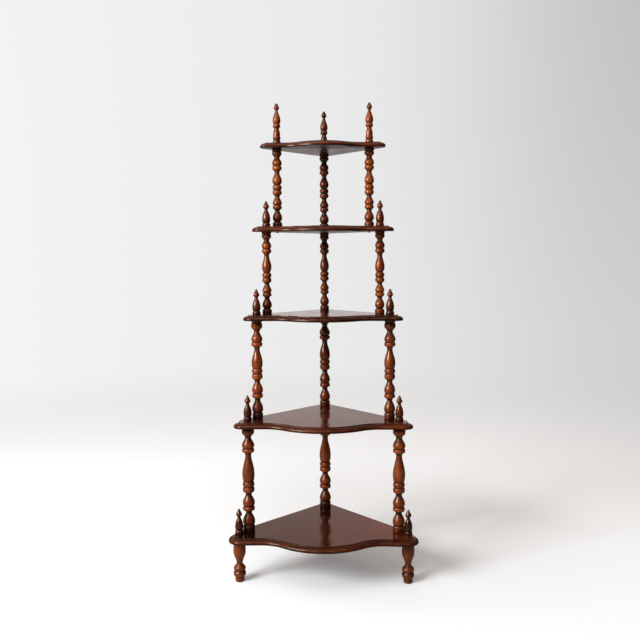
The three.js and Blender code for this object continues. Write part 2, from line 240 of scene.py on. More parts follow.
# How light or dark the stain came out, from -1 to 1, on each turned piece, shelf and shelf's edge.
TONES = {
    "shelf_1": -0.28, "shelf_2": 0.15, "shelf_3": -0.15, "shelf_4": -0.1, "shelf_5": 0.1,
    "shelf_1_edge": 0.25, "shelf_2_edge": 0.3, "shelf_3_edge": -0.2, "shelf_4_edge": 0.55,
    "shelf_5_edge": 0.6,
    "leg_left": 0.7, "leg_right": 0.1, "leg_back": -0.2,
    "spindle_1_left": 0.0, "spindle_1_right": 0.15, "spindle_1_back": 0.65,
    "spindle_2_left": 0.3, "spindle_2_right": 0.15, "spindle_2_back": -0.25,
    "spindle_3_left": 0.1, "spindle_3_right": 0.15, "spindle_3_back": -0.15,
    "spindle_4_left": 0.1, "spindle_4_right": 0.25, "spindle_4_back": -0.35,
    "finial_1_left": -1.0, "finial_1_right": -0.95, "finial_2_left": -0.65, "finial_2_right": -0.6,
    "finial_3_left": -0.4, "finial_3_right": -0.2, "finial_4_left": -0.3, "finial_4_right": -0.15,
    "top_finial_left": 0.35, "top_finial_right": 0.95, "top_finial_back": -0.4,
}

# Where turned pieces are darker than that: by how much, and over how many millimetres. The legs' rings have
# their height above the foot as well. The ends are darker partly from stain and partly from painted shade
# where they meet the shelves; the left spindles' feet carry a painted shadow of the finials beside them, and
# the lowest back spindle's lower half carries painted shade.
END_STAIN_AND_SHADE = 0.55
END_STAIN_AND_SHADE_REACH = 26
LEG_RINGS_HEIGHT = 34
LEG_RINGS_REACH = 18
LEG_RINGS_DARKENING = 1.1
LEFT_FOOT_PAINTED_SHADOW = 0.6
LEFT_FOOT_SHADOW_REACH = 48
LOW_BACK_PAINTED_SHADE = 1.05
LOW_BACK_SHADE_REACH = 130
TALL_TIP_DARKENING = 1.2
TALL_TIP_REACH = 24

# How much lighter bellies are than necks, partly stain and partly painted shade in the necks, the most that
# finials are worn, how much lighter the lowest shelf gets to the right with each millimetre, and how far the
# varnish has lost its gloss, from 0 to 1.
NECK_STAIN_AND_SHADE = 0.75
FINIAL_WEAR = 0.25
LOW_TOP_SLOPE = 0.0045
EDGE_DULL = 0.42
UNDERSIDE_DULL = 0.6

# The woods. The grain runs along one axis, the grooves are soiled by a share, and the crests take the worn
# colour; on the shelves' mouldings these two colours also paint shade and highlight lines. The roughness is
# the varnish's where it shines most. "dulls" says whether the varnish has lost its gloss in places.
WOODS = {
    "turned_wood": {
        "along": 2, "dark": (0.060, 0.0085, 0.0045, 1), "middle": (0.158, 0.025, 0.0035, 1),
        "light": (0.31, 0.076, 0.008, 1), "groove_and_shade": (0.026, 0.005, 0.002, 1),
        "wear_and_highlight": (0.38, 0.105, 0.022, 1), "soil_and_shade": 0.7, "roughness": 0.27, "specular": 0.6, "coat": 0.06,
        "bump": 0.12, "dulls": False,
    },
    "shelf_wood": {
        "along": 0, "dark": (0.016, 0.0028, 0.001, 1), "middle": (0.050, 0.0080, 0.0022, 1),
        "light": (0.125, 0.021, 0.006, 1), "groove_and_shade": (0.006, 0.002, 0.001, 1),
        "wear_and_highlight": (0.27, 0.105, 0.055, 1), "soil_and_shade": 0.95, "roughness": 0.07, "specular": 0.3, "coat": 0.14,
        "bump": 0.2, "dulls": True,
    },
}
VARNISH_TINT = (1, 0.74, 0.54, 1)
COAT_ROUGHNESS = 0.12
WOOD_BUMP_HEIGHT = 0.0004

# Patterns: scale per metre, detail and distortion. Grain and pores are drawn out along the wood by these
# shares.
EVEN = (1, 1, 1)
GRAIN_STRETCH = 0.09
PORE_STRETCH = 0.045
CLOUDS = (9, 3, 0)
FIGURE = (70, 4, 0.6)
FINE_GRAIN = (330, 3, 0.2)
PORES = (900, 2, 0)
CLOUD_SHARE = 0.5
FIGURE_SHARE = 0.5
GRAIN_BUMP_SHARE = 0.6
PORE_BUMP_SHARE = 0.4
WORN_PATCHES = (55, 4, 0)
SMEARS = (24, 4, 0)
RUST_SPOTS = (420, 4, 0)
BRUSHING = (2600, 2, 0)
BRUSHED = (1, 1, 0.1)

# What a pattern or an attribute turns into: from low, from high, to low, to high. Where the last two are
# missing, they differ between the woods.
TONE_TO_STAIN = (-1, 1, -0.1, 0.1)
STAIN_TO_MIDDLE = (0.34, 0.5, 0, 1)
STAIN_TO_LIGHT = (0.51, 0.72, 0, 1)
GRAIN_TO_STREAKS = (0.40, 0.62, 0.74, 1.1)
TONE_TO_SHADE = (-1, 1, 0.3, 1.52)
PORES_TO_GROOVE = (0.33, 0.41, 0.45, 0)
RELIEF_TO_SUNK = (-0.75, -0.05)
RELIEF_TO_RAISED = (0.1, 0.85, 0, 0.7)
PATCHES_TO_WEAR = (0.42, 0.62, 0, 1)
SMEARS_TO_ROUGHNESS = (0.35, 0.68)
# How much rougher the varnish gets where it is smeared, in the grooves and where it is dull.
SMEAR_ROUGHNESS = 0.12
SUNK_ROUGHNESS = 0.2
DULL_ROUGHNESS = 0.35

# Dull steel with brown spots.
STEEL = (0.22, 0.20, 0.18, 1)
RUST = (0.07, 0.045, 0.03, 1)
SPOTS_TO_RUST = (0.42, 0.62, 0, 1)
SPOTS_TO_ROUGHNESS = (0.4, 0.65, 0.34, 0.62)
STEEL_BUMP = 0.2
STEEL_BUMP_HEIGHT = 0.0001

# The floor: its colour to the camera and to other rays, and the glow that the camera sees, which grows with
# the distance from the middle, as its fading into the world does. Being weakest near the middle, the glow
# leaves painted shade on the floor round the object. Distances are metres.
FLOOR_RADIUS = 14
FLOOR_SIDES = 96
FLOOR_COLOUR = (0.84, 0.88, 0.888, 1)
FLOOR_BOUNCE = (0.42, 0.40, 0.38, 1)
FLOOR_ROUGHNESS = 0.9
FLOOR_SPECULAR = 0.1
DISTANCE_TO_GLOW = (0.25, 1.3, 0.16, 0.35)
DISTANCE_TO_FADE = (1.0, 4.5, 0, 1)

# The world's light by the direction that it comes from (x to the right, y away from the camera, z up), as
# ranges like those above, then the brightness that the camera sees by x, and what its upper right corner
# loses.
ROOM_TINT = (1.08, 0.89, 0.82, 1)
LEFT_LIGHT = (-0.7, 0.3, 0.24, 0.02)
UPPER_LIGHT = (0.2, 1.0, 0.0, 0.36)
WALL_TINT = (1.04, 0.95, 0.93, 1)
HIGH_WALL_TINT = (1.13, 0.67, 0.58, 1)
WALL_HEIGHT_TO_TINT = (0.16, 0.42, 0, 1)
WALL_LIGHT = (0.45, 0.95, 0.0, 0.7)
WALL_HEIGHT_LOSS = (0.3, 0.6, 1, 0.5)
WALL_SIDE_LOSS = (0.12, 0.45, 1, 0.2)
SEEN_LEFT = (-0.42, 0.1, 0.90, 0.80)
SEEN_RIGHT_LOSS = (0.0, 0.42, 0.0, 0.17)
CORNER_LOSS = (0.0, 0.42, 0.0, 0.11)
CORNER_HEIGHT = (-0.1, 0.33, 0.0, 1.0)

# Lamps: name, place, target, width, height, power, colour.
LAMPS = [
    ("key", (-2.5, -2.3, 2.15), (0, -0.1, 0.75), 1.7, 1.1, 160, (0.98, 0.985, 0.985)),
    ("top", (-0.9, -1.6, 3.3), (0, -0.1, 0.5), 2.4, 1.6, 24, (0.99, 0.99, 1.0)),
]

random.seed(SEED)


# Meshes.

def linked(name, data):
    made = bpy.data.objects.new(name, data)
    bpy.context.scene.collection.objects.link(made)
    return made


def mesh_object(name, points, faces, reliefs, tones, dulls=None):
    """An object from points in millimetres. A point's relief says how far it stands out or lies in, and on
    the shelves' mouldings also places painted shade and highlight lines; its tone says how light or dark its
    stain and painted shade are, and its dull how far the varnish has lost its gloss."""
    mesh = bpy.data.meshes.new(name)
    mesh.from_pydata([Vector(p) * MM for p in points], [], faces)
    dulls = dulls or [0.0] * len(points)
    for kind, values in (("relief", reliefs), ("tone", tones), ("dull", dulls)):
        mesh.attributes.new(kind, "FLOAT", "POINT").data.foreach_set("value", values)
    mesh.validate()
    mesh.shade_smooth()
    mesh.set_sharp_from_angle(angle=CREASE_ANGLE)
    return linked(name, mesh)


def finish_piece(piece, node, material):
    """Gives a piece its material, hangs it from the root body and hides the CAD node that it stands for."""
    piece.data.materials.append(material)
    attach(piece, "root")
    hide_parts(node)


def box(node):
    """The lowest and the highest corner of a CAD node, in millimetres."""
    low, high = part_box(node)
    return low / MM, high / MM


def middle_of(node):
    low, high = box(node)
    return (low + high) / 2


def ring_points(centre, radius, height, sides):
    """Points round a vertical axis at one height."""
    angles = [2 * math.pi * i / sides for i in range(sides)]
    return [
        (centre.x + radius * math.cos(angle), centre.y + radius * math.sin(angle), height)
        for angle in angles
    ]


def band(below, above, sides):
    """Faces between two rings of points. Either ring may be a single point on the axis."""
    faces = []
    for i in range(sides):
        j = (i + 1) % sides
        if len(below) == 1:
            faces.append((below[0], above[j], above[i]))
        elif len(above) == 1:
            faces.append((below[i], below[j], above[0]))
        else:
            faces.append((below[i], below[j], above[j], above[i]))
    return faces


# Turned pieces.

def curve_point(p, t):
    """A point between p[1] and p[2], on the centripetal curve through four points."""
    knots = [0.0]
    for a, b in zip(p, p[1:]):
        knots.append(knots[-1] + max(math.dist(a, b), NEARLY_ZERO) ** 0.5)
    u = knots[1] + (knots[2] - knots[1]) * t
    level = [Vector(q) for q in p]
    for depth in (1, 2, 3):
        merged = []
        for i in range(4 - depth):
            if depth == 3:
                k0, k1 = knots[1], knots[2]
            else:
                k0, k1 = knots[i], knots[i + depth]
            share = (u - k0) / (k1 - k0)
            merged.append(level[i].lerp(level[i + 1], share))
        level = merged
    return level[0]


def smooth_run(run):
    """Points along one smooth curve through the given ones, without its last point."""
    first = run[0] * 2 - run[1]
    last = run[-1] * 2 - run[-2]
    line = [first, *run, last]
    points = []
    for i in range(1, len(line) - 2):
        steps = max(2, math.ceil(math.dist(line[i], line[i + 1]) / RING_SPACING))
        if len(run) == 2:
            steps = 1
        points += [curve_point(line[i - 1:i + 3], step / steps) for step in range(steps)]
    return points


def smooth_profile(rows):
    """(radius, height) points through rows of (radius, height, crease)."""
    points = []
    run = []
    for row in rows:
        run.append(Vector(row[:2]))
        if row[2] and len(run) > 1:
            points += smooth_run(run)
            run = run[-1:]
    return [*points, run[-1]]


def scaled(rows, radius, start, height):
    """Rows of a profile's shares as (radius, height, crease) in millimetres."""
    return [(row[1] * radius, start + row[0] * height, len(row) > 2) for row in rows]


def reliefs_along(profile, reach, full):
    """How far each point of a profile stands out of, or lies in, the smoothed profile: -1 to 1."""
    spacing = []
    for i in range(len(profile)):
        before = profile[max(i - 1, 0)]
        after = profile[min(i + 1, len(profile) - 1)]
        spacing.append(math.dist(before, after))
    values = []
    for radius, height in profile:
        total = 0.0
        weights = 0.0
        for (other, level), share in zip(profile, spacing):
            weight = share * math.exp(-(((height - level) / reach) ** 2))
            total += weight * other
            weights += weight
        values.append(max(-1.0, min(1.0, (radius - total / weights) / full)))
    return values


def darkening_falloff(distance, soak):
    """1 where the darkening is strongest, and less with the distance from there."""
    return math.exp(-((distance / soak) ** 2))


def stain_and_shade_at(node, above_foot, below_head):
    """The tone at a height of a turned piece: its stain, with painted shade. The ends are darker, partly
    stain and partly painted shade where they meet the shelves, and so are the legs' rings and the tall
    finials' tips; the left spindles' feet carry a painted shadow and the lowest back spindle's lower half
    painted shade."""
    tone = TONES[node]
    if "finial" not in node:
        tone -= END_STAIN_AND_SHADE * darkening_falloff(below_head, END_STAIN_AND_SHADE_REACH)
    if node.startswith("leg"):
        tone -= LEG_RINGS_DARKENING * darkening_falloff(above_foot - LEG_RINGS_HEIGHT, LEG_RINGS_REACH)
    else:
        tone -= END_STAIN_AND_SHADE * darkening_falloff(above_foot, END_STAIN_AND_SHADE_REACH)
    if node.startswith("top_finial"):
        tone -= TALL_TIP_DARKENING * darkening_falloff(below_head, TALL_TIP_REACH)
    # Painted shadow of the finials on the left spindles' feet, and painted shade low on the lowest back
    # spindle.
    if node.startswith("spindle") and node.endswith("left"):
        tone -= LEFT_FOOT_PAINTED_SHADOW * darkening_falloff(above_foot, LEFT_FOOT_SHADOW_REACH)
    if node == "spindle_1_back":
        tone -= LOW_BACK_PAINTED_SHADE * darkening_falloff(above_foot, LOW_BACK_SHADE_REACH)
    return tone


def lathe(name, profile, reliefs, tones, sides, centre):
    """A closed mesh turned round a vertical axis. The profile's ends lie on the axis."""
    points = []
    levels = []
    stains_and_shade = []
    rings = []
    for (radius, height), relief, tone in zip(profile, reliefs, tones):
        start = len(points)
        count = 1 if radius < NEARLY_ZERO else sides
        points += ring_points(centre, radius, height, sides)[:count]
        levels += [relief] * count
        stains_and_shade += [tone] * count
        rings.append(range(start, start + count))
    faces = []
    for below, above in zip(rings, rings[1:]):
        faces += band(below, above, sides)
    return mesh_object(name, points, faces, levels, stains_and_shade)


def turned_piece(node, rows, sides, foot_bore, head_bore, material):
    """A turned piece that stands for a CAD node, with blind bores for its screws."""
    low, high = box(node)
    outer = [(radius, low.z + height) for radius, height in smooth_profile(rows)]
    reliefs = reliefs_along(outer, RELIEF_REACH, RELIEF_FULL)
    if "finial" in node:
        reliefs = [min(relief, FINIAL_WEAR) for relief in reliefs]
    bellies = reliefs_along(outer, BELLY_REACH, BELLY_FULL)
    foot = [(0, low.z)]
    if foot_bore:
        radius, depth = foot_bore
        foot = [(0, low.z + depth), (radius, low.z + depth), (radius, low.z)]
    head = []
    if head_bore:
        radius, depth = head_bore
        head = [(radius, high.z), (radius, high.z - depth), (0, high.z - depth)]
    profile = [*foot, *outer, *head]
    reliefs = [-1.0] * len(foot) + reliefs + [-1.0] * len(head)
    bellies = [0.0] * len(foot) + bellies + [0.0] * len(head)
    # Tones: the stain, with painted shade at the ends, in the necks, at the left feet and low on the lowest
    # back spindle.
    tones = [
        stain_and_shade_at(node, height - low.z, high.z - height) + NECK_STAIN_AND_SHADE * belly
        for (_, height), belly in zip(profile, bellies)
    ]
    piece = lathe(node + "_wood", profile, reliefs, tones, sides, (low + high) / 2)
    finish_piece(piece, node, material)


def spindle(node, tier, foot_bore, material):
    """A spindle. Its vase takes up what its lower and upper turnings leave of its height."""
    diameter, lower, upper, pattern = TIERS[tier]
    low, high = box(node)
    vase = high.z - low.z - lower - upper
    shapes = PROFILES[pattern]
    rows = scaled(shapes["lower"], diameter / 2, 0, lower)[:-1]
    rows += scaled(shapes["vase"], diameter / 2, lower, vase)[:-1]
    rows += scaled(shapes["upper"], diameter / 2, lower + vase, upper)
    turned_piece(node, rows, SPINDLE_SIDES, foot_bore, DOWEL_BORE, material)


def leg(node, material):
    low, high = box(node)
    rows = scaled(PROFILES["leg"], LEG_DIAMETER / 2, 0, high.z - low.z)
    turned_piece(node, rows, SPINDLE_SIDES, None, DOWEL_BORE, material)


def finial(node, kind, diameter, material):
    low, high = box(node)
    rows = scaled(PROFILES[kind], diameter / 2, 0, high.z - low.z)
    turned_piece(node, rows, FINIAL_SIDES, DOWEL_BORE, None, material)


# Shelves.

def arc(centre, radius, start, end, steps, inward_sign):
    """Points along an arc, each with the direction into the board. The sign is 1 where the board lies
    inside the arc, and -1 where it lies outside."""
    points = []
    for i in range(steps + 1):
        angle = start + (end - start) * i / steps
        outward = Vector((math.cos(angle), math.sin(angle)))
        points.append((centre + outward * radius, outward * -inward_sign))
    return points


def line_points(start, end, steps, inward):
    """Points along a line, after its first, each with the direction into the board."""
    return [(start.lerp(end, i / steps), inward) for i in range(1, steps + 1)]


def front_circles(level):
    """The circles of a shelf's bulge, right hollow and right ear, each as (centre, radius), then the angle
    that the bulge spans to the right and the slope at which the hollow runs into the ear."""
    overhang, ear_radius, hollow_inset, bulge = SHELVES[level]
    post = middle_of(f"dowel_screw_{level + 1}_right")
    ear_front = overhang - post.y
    hollow_front = ear_front - HOLLOW_SETBACK
    half = post.x - hollow_inset
    # The bulge runs into the hollow without a corner, which fixes the sum of their radii.
    radius_sum = (half ** 2 + bulge ** 2) / (2 * bulge)
    hollow_radius = radius_sum * HOLLOW_RADIUS_SHARE
    bulge_radius = radius_sum - hollow_radius
    bulge_centre = Vector((0, bulge_radius - hollow_front - bulge))
    hollow_centre = Vector((half, -hollow_front - hollow_radius))
    # The ear touches the line of the front and the right back edge.
    ear_y = ear_radius - ear_front
    ear_centre = Vector((BACK_REACH - ear_radius * math.sqrt(2) - ear_y, ear_y))
    between = ear_centre - hollow_centre
    slope = math.atan2(between.x, between.y) - math.acos((ear_radius + hollow_radius) / between.length)
    circles = [(bulge_centre, bulge_radius), (hollow_centre, hollow_radius), (ear_centre, ear_radius)]
    return circles, math.asin(half / radius_sum), slope


def half_outline(level):
    """The right half of a shelf's outline: (place, direction into the board, share of the moulding)."""
    (bulge, hollow, ear), sweep, slope = front_circles(level)
    steps = OUTLINE_STEPS
    front = arc(*bulge, FORWARD, FORWARD + sweep, steps["bulge"], 1)
    front += arc(*hollow, BACKWARD + sweep, BACKWARD - slope, steps["hollow"], -1)[1:]
    side = arc(*ear, FORWARD - slope, EAR_END, steps["ear"], 1)[1:]
    ear_end, inward = side[-1]
    runout_end = ear_end + ALONG_BACK * RUNOUT
    corner = Vector((CORNER_FLAT, BACK_REACH - CORNER_FLAT))
    side += line_points(ear_end, runout_end, steps["runout"], inward)
    side += line_points(runout_end, corner - ALONG_BACK * CORNER_EASE, steps["back"], inward)
    side.append((corner - Vector((CORNER_EASE, 0)), Vector((0, -1))))
    fade = ear[1] * (EAR_END - FORWARD + slope) / EAR_PARTS
    outline = [(place, into, 1.0) for place, into in front]
    return outline + [(place, into, moulded_share(place, ear_end, fade)) for place, into in side]


def moulded_share(place, ear_end, fade):
    """1 round the front of the ear, fading to 0 where it has run into the straight back edge."""
    past = (place - ear_end).dot(ALONG_BACK)
    share = max(0.0, min(1.0, (past + fade) / (RUNOUT + fade)))
    return 1 - share * share * (3 - 2 * share)


def moulded_rows():
    """The moulding's section from the top face down: (inset, drop, relief)."""
    rows = list(STEP_ROWS)
    for i, relief in enumerate(ROUND_RELIEFS_AND_PAINTED_LIGHT):
        angle = math.pi / 2 * i / (len(ROUND_RELIEFS_AND_PAINTED_LIGHT) - 1)
        drop = STEP_DROP + ROUND_DROP * (1 - math.cos(angle))
        rows.append((ROUND_WIDTH * (1 - math.sin(angle)), drop, relief))
    for i in range(ARRIS_STEPS + 1):
        angle = math.pi / 2 * i / ARRIS_STEPS
        inset = LOWER_ARRIS * (1 - math.cos(angle))
        rows.append((inset, BOARD - LOWER_ARRIS * (1 - math.sin(angle)), ARRIS_RELIEF_AND_PAINTED_SHADE))
    return rows


def plain_rows(count):
    """The square edge at the back, with as many rows as the moulding."""
    near = EASE * EASE_SHARE
    eased = [(EASE, 0, 0.0), (near, near, EASE_RELIEF), (0, EASE, BESIDE_EASE_RELIEF)]
    foot = [(inset, BOARD - drop, relief) for inset, drop, relief in reversed(eased)]
    middle = count - len(eased) - len(foot)
    rows = []
    for i in range(1, middle + 1):
        rows.append((0, EASE + (BOARD - 2 * EASE) * i / (middle + 1), 0.0))
    return [*eased, *rows, *foot]


def edge_points(outline, top):
    """The points of a board's edge, row by row from its top face down, and their reliefs."""
    section = moulded_rows()
    points = []
    reliefs = []
    for (inset, drop, relief), (inset_0, drop_0, relief_0) in zip(section, plain_rows(len(section))):
        for place, inward, share in outline:
            spot = place + inward * (inset_0 + (inset - inset_0) * share)
            points.append((spot.x, spot.y, top - drop_0 - (drop - drop_0) * share))
            reliefs.append(relief_0 + (relief - relief_0) * share)
    return points, reliefs


def edge_faces(count, rows):
    """The faces between rows of a board's edge, each row with as many points."""
    faces = []
    for above in range(0, (rows - 1) * count, count):
        below = above + count
        for i in range(count):
            j = (i + 1) % count
            faces.append((above + i, below + i, below + j, above + j))
    return faces


def shelf_bores(level):
    """(centre, radius) of every hole through a shelf."""
    number = level + 1
    bores = [(middle_of(f"dowel_screw_{number}_{post}"), DOWEL_BORE[0]) for post in POSTS]
    if number < len(SHELVES):
        bores += [(middle_of(f"wood_screw_{number}_{post}"), SCREW_BORE[0]) for post in SIDE_POSTS]
    return bores


def shelf(level, material):
    """A shelf's board: moulded round its front, square at its back and bored for its screws."""
    node = f"shelf_{level + 1}"
    low, high = box(node)
    half = half_outline(level)
    mirrored = [(Vector((-p.x, p.y)), Vector((-n.x, n.y)), share) for p, n, share in reversed(half[1:])]
    outline = [*half, *mirrored]
    points, reliefs = edge_points(outline, high.z)
    count = len(outline)
    faces = edge_faces(count, len(points) // count)
    top_loops = [range(count)]
    bottom_loops = [range(len(points) - count, len(points))]
    for centre, radius in shelf_bores(level):
        mouth = range(len(points), len(points) + BORE_SIDES)
        exit_ring = range(mouth.stop, mouth.stop + BORE_SIDES)
        for height in (high.z, low.z):
            points += ring_points(centre, radius, height, BORE_SIDES)
            reliefs += [0.0] * BORE_SIDES
        top_loops.append(mouth)
        bottom_loops.append(exit_ring)
        faces += band(mouth, exit_ring, BORE_SIDES)
    faces += flat_faces(points, top_loops, 1)
    faces += flat_faces(points, bottom_loops, -1)
    tones, dulls = zip(*(varnish_at(node, point[0], high.z - point[2]) for point in points))
    piece = mesh_object(node + "_board", points, faces, reliefs, tones, dulls)
    sharpen(piece, low.z * MM, high.z * MM)
    finish_piece(piece, node, material)


def varnish_at(node, x, drop):
    """The stain's tone on a shelf and how far the varnish has lost its gloss, by the distance below the
    top face. The lowest shelf's top is redder towards its right end."""
    if drop > BOARD - SAME_HEIGHT:
        return TONES[node], UNDERSIDE_DULL
    share = min(1.0, drop / STEP_DROP)
    top_tone = TONES[node]
    if node == "shelf_1":
        top_tone += LOW_TOP_SLOPE * x
    tone = top_tone + (TONES[node + "_edge"] - top_tone) * share
    return tone, EDGE_DULL * share


def sharpen(piece, *heights):
    """Makes every edge at these heights crisp, so that the flat faces shade flat up to their rims."""
    mesh = piece.data
    sharp = mesh.attributes.get("sharp_edge") or mesh.attributes.new("sharp_edge", "BOOLEAN", "EDGE")
    for edge in mesh.edges:
        ends = [mesh.vertices[i].co.z for i in edge.vertices]
        if any(max(abs(end - height) for end in ends) < NEARLY_ZERO for height in heights):
            sharp.data[edge.index].value = True


def flat_faces(points, loops, up):
    """Triangles that fill a flat outline with holes, facing up or down."""
    flat = [[Vector((points[i][0], points[i][1], 0)) for i in loop] for loop in loops]
    order = [i for loop in loops for i in loop]
    faces = []
    for a, b, c in geometry.tessellate_polygon(flat):
        p, q, r = (Vector(points[order[k]]) for k in (a, b, c))
        turned = (q - p).cross(r - p).z * up
        faces.append((order[a], order[b], order[c]) if turned > 0 else (order[a], order[c], order[b]))
    return faces


# Screws.

def threaded(start, end, radius, centre):
    """Rings of a helical thread between two heights, with a point at the upper end."""
    rings = []
    steps = max(1, math.ceil((end - start) / (THREAD_PITCH / RINGS_PER_TURN)))
    for i in range(steps + 1):
        height = start + (end - start) * i / steps
        taper = max(0.0, min(1.0, (end - height) / SCREW_TIP))
        ring = []
        for k in range(SCREW_SIDES):
            angle = 2 * math.pi * k / SCREW_SIDES
            phase = (height / THREAD_PITCH - k / SCREW_SIDES) % 1
            depth = THREAD_DEPTH * abs(2 * phase - 1)
            across = max(SCREW_POINT_RADIUS, (radius - depth) * taper)
            ring.append((centre.x + across * math.cos(angle), centre.y + across * math.sin(angle), height))
        rings.append(ring)
    return rings


def ring_mesh(name, rings):
    """A closed mesh from rings of points, lowest first."""
    points = [p for ring in rings for p in ring]
    last = len(points) - SCREW_SIDES
    faces = []
    for below in range(0, last, SCREW_SIDES):
        above = below + SCREW_SIDES
        faces += band(range(below, above), range(above, above + SCREW_SIDES), SCREW_SIDES)
    faces.append(tuple(range(SCREW_SIDES - 1, -1, -1)))
    faces.append(tuple(range(last, last + SCREW_SIDES)))
    plain = [0.0] * len(points)
    return mesh_object(name, points, faces, plain, plain)


def dowel_screw(node, material):
    """A double-ended screw: a plain middle in the shelf and a thread at either end."""
    low, high = box(node)
    centre = (low + high) / 2
    upper = threaded(centre.z + BOARD / 2, high.z, DOWEL_SCREW_RADIUS, centre)
    lower = [[(x, y, 2 * centre.z - z) for x, y, z in ring] for ring in reversed(upper)]
    piece = ring_mesh(node + "_steel", [*lower, *upper])
    finish_piece(piece, node, material)


def wood_screw(node, material):
    """A round-headed slotted screw, driven up from below."""
    low, high = box(node)
    centre = (low + high) / 2
    seat = low.z + SCREW_HEAD_HEIGHT
    head = []
    for share in SCREW_HEAD_SHARES:
        height = seat - SCREW_HEAD_HEIGHT * math.sqrt(max(0.0, 1 - share * share))
        head.append(ring_points(centre, SCREW_HEAD_RADIUS * share, height, SCREW_SIDES))
    head.append(ring_points(centre, SCREW_HEAD_RADIUS * SCREW_HEAD_RIM_SHARE, seat, SCREW_SIDES))
    head.append(ring_points(centre, WOOD_SCREW_RADIUS, seat, SCREW_SIDES))
    thread = threaded(seat + BOARD * SHANK_SHARE, high.z, WOOD_SCREW_RADIUS, centre)
    piece = ring_mesh(node + "_steel", [*head, *thread])
    cut_slot(piece, Vector((centre.x, centre.y, low.z)))
    finish_piece(piece, node, material)


def cut_slot(piece, low):
    """Cuts the driver's slot across a screw's head."""
    angle = random.uniform(0, math.pi)
    cutter_mesh = bpy.data.meshes.new("slot_cutter")
    shape = bmesh.new()
    bmesh.ops.create_cube(shape, size=1)
    size = Matrix.Diagonal((4 * SCREW_HEAD_RADIUS * MM, SLOT_WIDTH * MM, 2 * SLOT_DEPTH * MM, 1))
    shape.transform(Matrix.Translation(low * MM) @ Matrix.Rotation(angle, 4, "Z") @ size)
    shape.to_mesh(cutter_mesh)
    shape.free()
    cutter = linked("slot_cutter", cutter_mesh)
    cut = piece.modifiers.new("slot", "BOOLEAN")
    cut.operation = "DIFFERENCE"
    cut.solver = "EXACT"
    cut.object = cutter
    graph = bpy.context.evaluated_depsgraph_get()
    result = bpy.data.meshes.new_from_object(piece.evaluated_get(graph))
    piece.modifiers.clear()
    piece.data = result
    result.set_sharp_from_angle(angle=CREASE_ANGLE)
    bpy.data.objects.remove(cutter)


# Materials.

def node_of(tree, kind, inputs=None, **settings):
    """A new shader node. Its inputs are links or plain values."""
    made = tree.nodes.new(kind)
    for key, value in settings.items():
        setattr(made, key, value)
    for key, value in (inputs or {}).items():
        if isinstance(value, bpy.types.NodeSocket):
            tree.links.new(value, made.inputs[key])
        else:
            made.inputs[key].default_value = value
    return made


def attribute(tree, name):
    return node_of(tree, "ShaderNodeAttribute", attribute_name=name).outputs["Fac"]


def noise(tree, place, stretch, scale, detail, distortion):
    """A cloudy pattern from 0 to 1."""
    mapped = node_of(tree, "ShaderNodeMapping", {"Vector": place, "Scale": stretch})
    made = node_of(tree, "ShaderNodeTexNoise", {
        "Vector": mapped.outputs[0], "Scale": scale, "Detail": detail, "Distortion": distortion,
    })
    return made.outputs["Fac"]


def ranged(tree, value, low, high, to_low, to_high, kind="LINEAR"):
    """A value carried over from one range to another, and kept inside it."""
    made = node_of(tree, "ShaderNodeMapRange", {
        "Value": value, "From Min": low, "From Max": high, "To Min": to_low, "To Max": to_high,
    }, interpolation_type=kind)
    return made.outputs["Result"]


def eased(tree, value, *limits):
    """The same, but slower towards both ends of the range."""
    return ranged(tree, value, *limits, "SMOOTHSTEP")


def mixed(tree, share, a, b, blend="MIX"):
    """A colour blended from two. The numbers are the Mix node's sockets for the share and the colours."""
    made = node_of(tree, "ShaderNodeMix", {0: share, 6: a, 7: b}, data_type="RGBA", blend_type=blend)
    return made.outputs[2]


def maths(tree, operation, *values):
    return node_of(tree, "ShaderNodeMath", dict(enumerate(values)), operation=operation).outputs[0]


def plus_share(tree, value, other, share):
    """The first value plus a share of the other."""
    return maths(tree, "ADD", value, maths(tree, "MULTIPLY", other, share))


def new_material(name):
    material = bpy.data.materials.new(name)
    material.use_nodes = True
    tree = material.node_tree
    return material, tree, tree.nodes["Principled BSDF"]


def drawn_out(along, stretch):
    """A pattern's scale, with the pattern drawn out along one axis."""
    scale = [1.0, 1.0, 1.0]
    scale[along] = stretch
    return scale


def stain_colour(tree, look, place, fine, pores):
    """The stained wood's colour: clouds and figure, then fine streaks, the piece's tone and dark pores."""
    tone = attribute(tree, "tone")
    clouds = noise(tree, place, EVEN, *CLOUDS)
    figure = noise(tree, place, drawn_out(look["along"], GRAIN_STRETCH), *FIGURE)
    blended = plus_share(tree, maths(tree, "MULTIPLY", clouds, CLOUD_SHARE), figure, FIGURE_SHARE)
    blended = maths(tree, "ADD", blended, ranged(tree, tone, *TONE_TO_STAIN))
    colour = mixed(tree, eased(tree, blended, *STAIN_TO_MIDDLE), look["dark"], look["middle"])
    colour = mixed(tree, eased(tree, blended, *STAIN_TO_LIGHT), colour, look["light"])
    colour = mixed(tree, 1.0, colour, ranged(tree, fine, *GRAIN_TO_STREAKS), "MULTIPLY")
    colour = mixed(tree, 1.0, colour, ranged(tree, tone, *TONE_TO_SHADE), "MULTIPLY")
    return mixed(tree, ranged(tree, pores, *PORES_TO_GROOVE), colour, look["groove_and_shade"])


